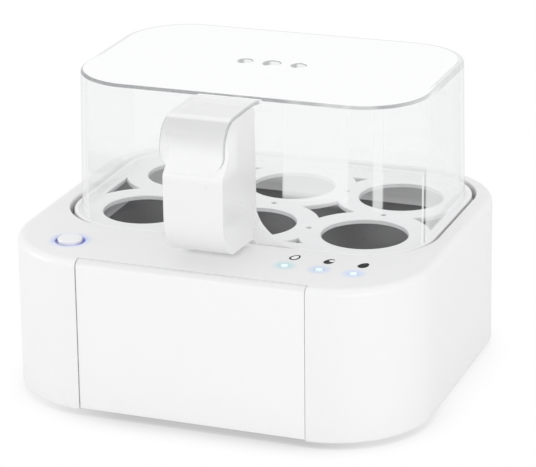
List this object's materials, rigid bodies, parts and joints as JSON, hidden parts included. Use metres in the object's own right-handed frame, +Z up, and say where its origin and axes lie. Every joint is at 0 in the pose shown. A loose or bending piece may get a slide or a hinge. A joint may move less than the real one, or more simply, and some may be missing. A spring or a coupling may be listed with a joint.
{
  "type": "egg cooker",
  "caption": "Electric egg cooker: rounded white base with heating bowl, lift-out egg tray with handle, clear vented lid with grip tongue, lit start button and indicator lights.",
  "frame": {"origin": "middle of the footprint, on the surface the feet stand on", "axes": "+Z up, +X to the right of the front face, +Y to the rear, so the control deck faces -Y"},
  "size_m": [0.1978, 0.1787, 0.1417],
  "materials": {
    "white_plastic": "moulded, satin gloss",
    "fascia_plastic": "moulded, high gloss",
    "base_plastic": "moulded, fine texture",
    "clear_plastic": "clear, polished",
    "bowl_steel": "satin",
    "heater_metal": "plain",
    "element_sheath": "dull",
    "plug_metal": "nickel plated",
    "screw_steel": "zinc plated",
    "spring_steel": "drawn wire",
    "foot_rubber": "matt",
    "seal_rubber": "matt",
    "board_green": "solder mask",
    "dark_plastic": "moulded",
    "chip": "moulded",
    "lens": "translucent, lit pale blue",
    "ring_lens": "translucent, lit blue",
    "lead_insulation": "sleeved wire"
  },
  "bodies": {
    "base": {"base_plate": "base_plastic", "base_screw_front_left": "screw_steel", "base_screw_front_right": "screw_steel", "base_screw_rear_left": "screw_steel", "base_screw_rear_right": "screw_steel", "board_lead": "lead_insulation", "board_screw_left": "screw_steel", "board_screw_right": "screw_steel", "bowl_seal": "seal_rubber", "button_ring_light": "ring_lens", "button_spring": "spring_steel", "buzzer": "dark_plastic", "control_board": "board_green", "foot_front_left": "foot_rubber", "foot_front_right": "foot_rubber", "foot_rear_left": "foot_rubber", "foot_rear_right": "foot_rubber", "front_fascia": "fascia_plastic", "heater_lead_live": "lead_insulation", "heater_lead_neutral": "lead_insulation", "heater_plate": "heater_metal", "heating_bowl": "bowl_steel", "heating_element": "element_sheath", "housing": "white_plastic", "led_hard": "chip", "led_medium": "chip", "led_soft": "chip", "lens_hard": "lens", "lens_medium": "lens", "lens_soft": "lens", "mains_plug": "base_plastic", "plug_pin_left": "plug_metal", "plug_pin_right": "plug_metal", "power_cord": "base_plastic", "relay": "dark_plastic", "strain_relief": "seal_rubber", "tact_switch": "dark_plastic", "terminal_block": "base_plastic", "thermal_fuse": "heater_metal", "thermostat": "heater_metal"},
    "tray": {"egg_tray": "white_plastic", "tray_handle": "white_plastic"},
    "lid": {"lid": "clear_plastic"},
    "button": {"power_button_cap": "white_plastic"}
  },
  "joints": [
    {"name": "tray_lift", "type": "slide", "parent": "base", "child": "tray", "axis": [0, 0, 1], "range_m": [0, 0.08]},
    {"name": "lid_lift", "type": "slide", "parent": "tray", "child": "lid", "axis": [0, 0, 1], "range_m": [0, 0.09]},
    {"name": "button_press", "type": "slide", "parent": "base", "child": "button", "axis": [0, 0, -1], "range_m": [0, 0.0012], "stiffness_N_per_m": 300, "springref_m": -0.001, "deforming": ["button_spring"]}
  ]
}
